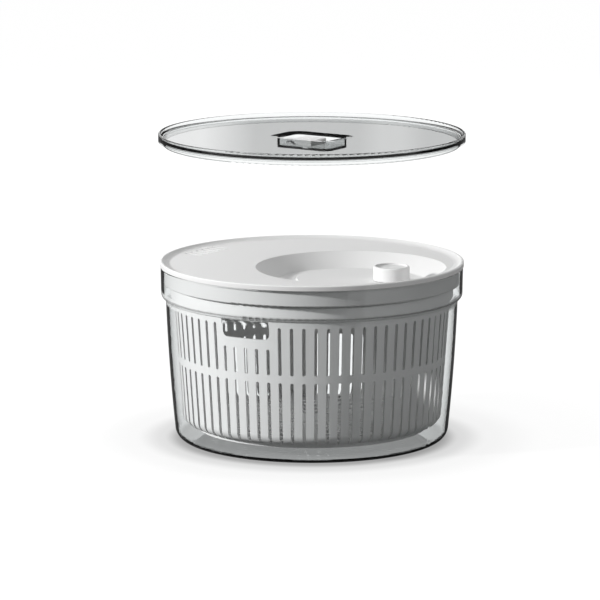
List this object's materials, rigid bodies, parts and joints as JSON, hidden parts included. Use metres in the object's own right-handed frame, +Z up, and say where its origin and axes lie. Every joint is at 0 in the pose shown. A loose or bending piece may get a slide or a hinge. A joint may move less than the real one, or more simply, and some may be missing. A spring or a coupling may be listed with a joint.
{
  "type": "salad spinner with storage lid",
  "caption": "Clear salad spinner bowl with a slotted white basket, a white lid with a recessed crank and a geared drive, and a clear storage lid with a flip vent shown lifted off above it",
  "frame": {"origin": "centre of the bowl's base, on the table", "axes": "+Z up along the bowl's axis, +X from the bowl's axis towards the crank's axis, +Y to its left"},
  "size_m": [0.2628, 0.2628, 0.2649],
  "materials": {
    "clear_plastic": "clear, polished",
    "white_plastic": "satin moulded",
    "gear_plastic": "satin moulded",
    "steel": "plain",
    "soft_plug": "matte"
  },
  "bodies": {
    "bowl": {"bowl": "clear_plastic"},
    "basket": {"basket": "white_plastic"},
    "spinner_lid": {"lid_cover": "white_plastic", "gear_cover": "white_plastic", "cover_screws": "steel"},
    "crank": {"crank_disc": "white_plastic", "crank_gear": "gear_plastic", "crank_washer": "steel", "crank_screw": "steel", "knob_pin": "steel"},
    "knob": {"knob_grip": "white_plastic", "knob_cap": "white_plastic"},
    "drive": {"pinion": "gear_plastic", "drive_disc": "white_plastic", "drive_washer": "steel", "drive_screw": "steel"},
    "storage_lid": {"storage_lid": "clear_plastic", "vent_pin": "steel"},
    "vent": {"vent_flap": "white_plastic", "vent_plug": "soft_plug"}
  },
  "joints": [
    {"name": "lid_lift", "type": "slide", "parent": "bowl", "child": "spinner_lid", "axis": [0, 0, 1], "range_m": [0, 0.25]},
    {"name": "basket_spin", "type": "hinge", "parent": "bowl", "child": "basket", "pos_m": [0, 0, 0.0142], "axis": [0, 0, 1], "continuous": true},
    {"name": "crank_turn", "type": "hinge", "parent": "spinner_lid", "child": "crank", "pos_m": [0.0396, 0, 0.14], "axis": [0, 0, 1], "continuous": true},
    {"name": "drive_spin", "type": "hinge", "parent": "spinner_lid", "child": "drive", "pos_m": [0, 0, 0.13], "axis": [0, 0, 1], "continuous": true},
    {"name": "knob_spin", "type": "hinge", "parent": "crank", "child": "knob", "pos_m": [0.07466, 0.0094, 0.148], "axis": [0, 0, 1], "continuous": true},
    {"name": "storage_lid_lift", "type": "slide", "parent": "spinner_lid", "child": "storage_lid", "axis": [0, 0, 1], "range_m": [-0.095, 0.05]},
    {"name": "vent_flip", "type": "hinge", "parent": "storage_lid", "child": "vent", "pos_m": [-0.0137, 0, 0.2562], "axis": [0, -1, 0], "range_deg": [0, 90]}
  ],
  "couplings": [
    {"joint": "crank_turn", "follows": "basket_spin", "ratio": -0.375},
    {"joint": "drive_spin", "follows": "basket_spin", "ratio": 1}
  ]
}
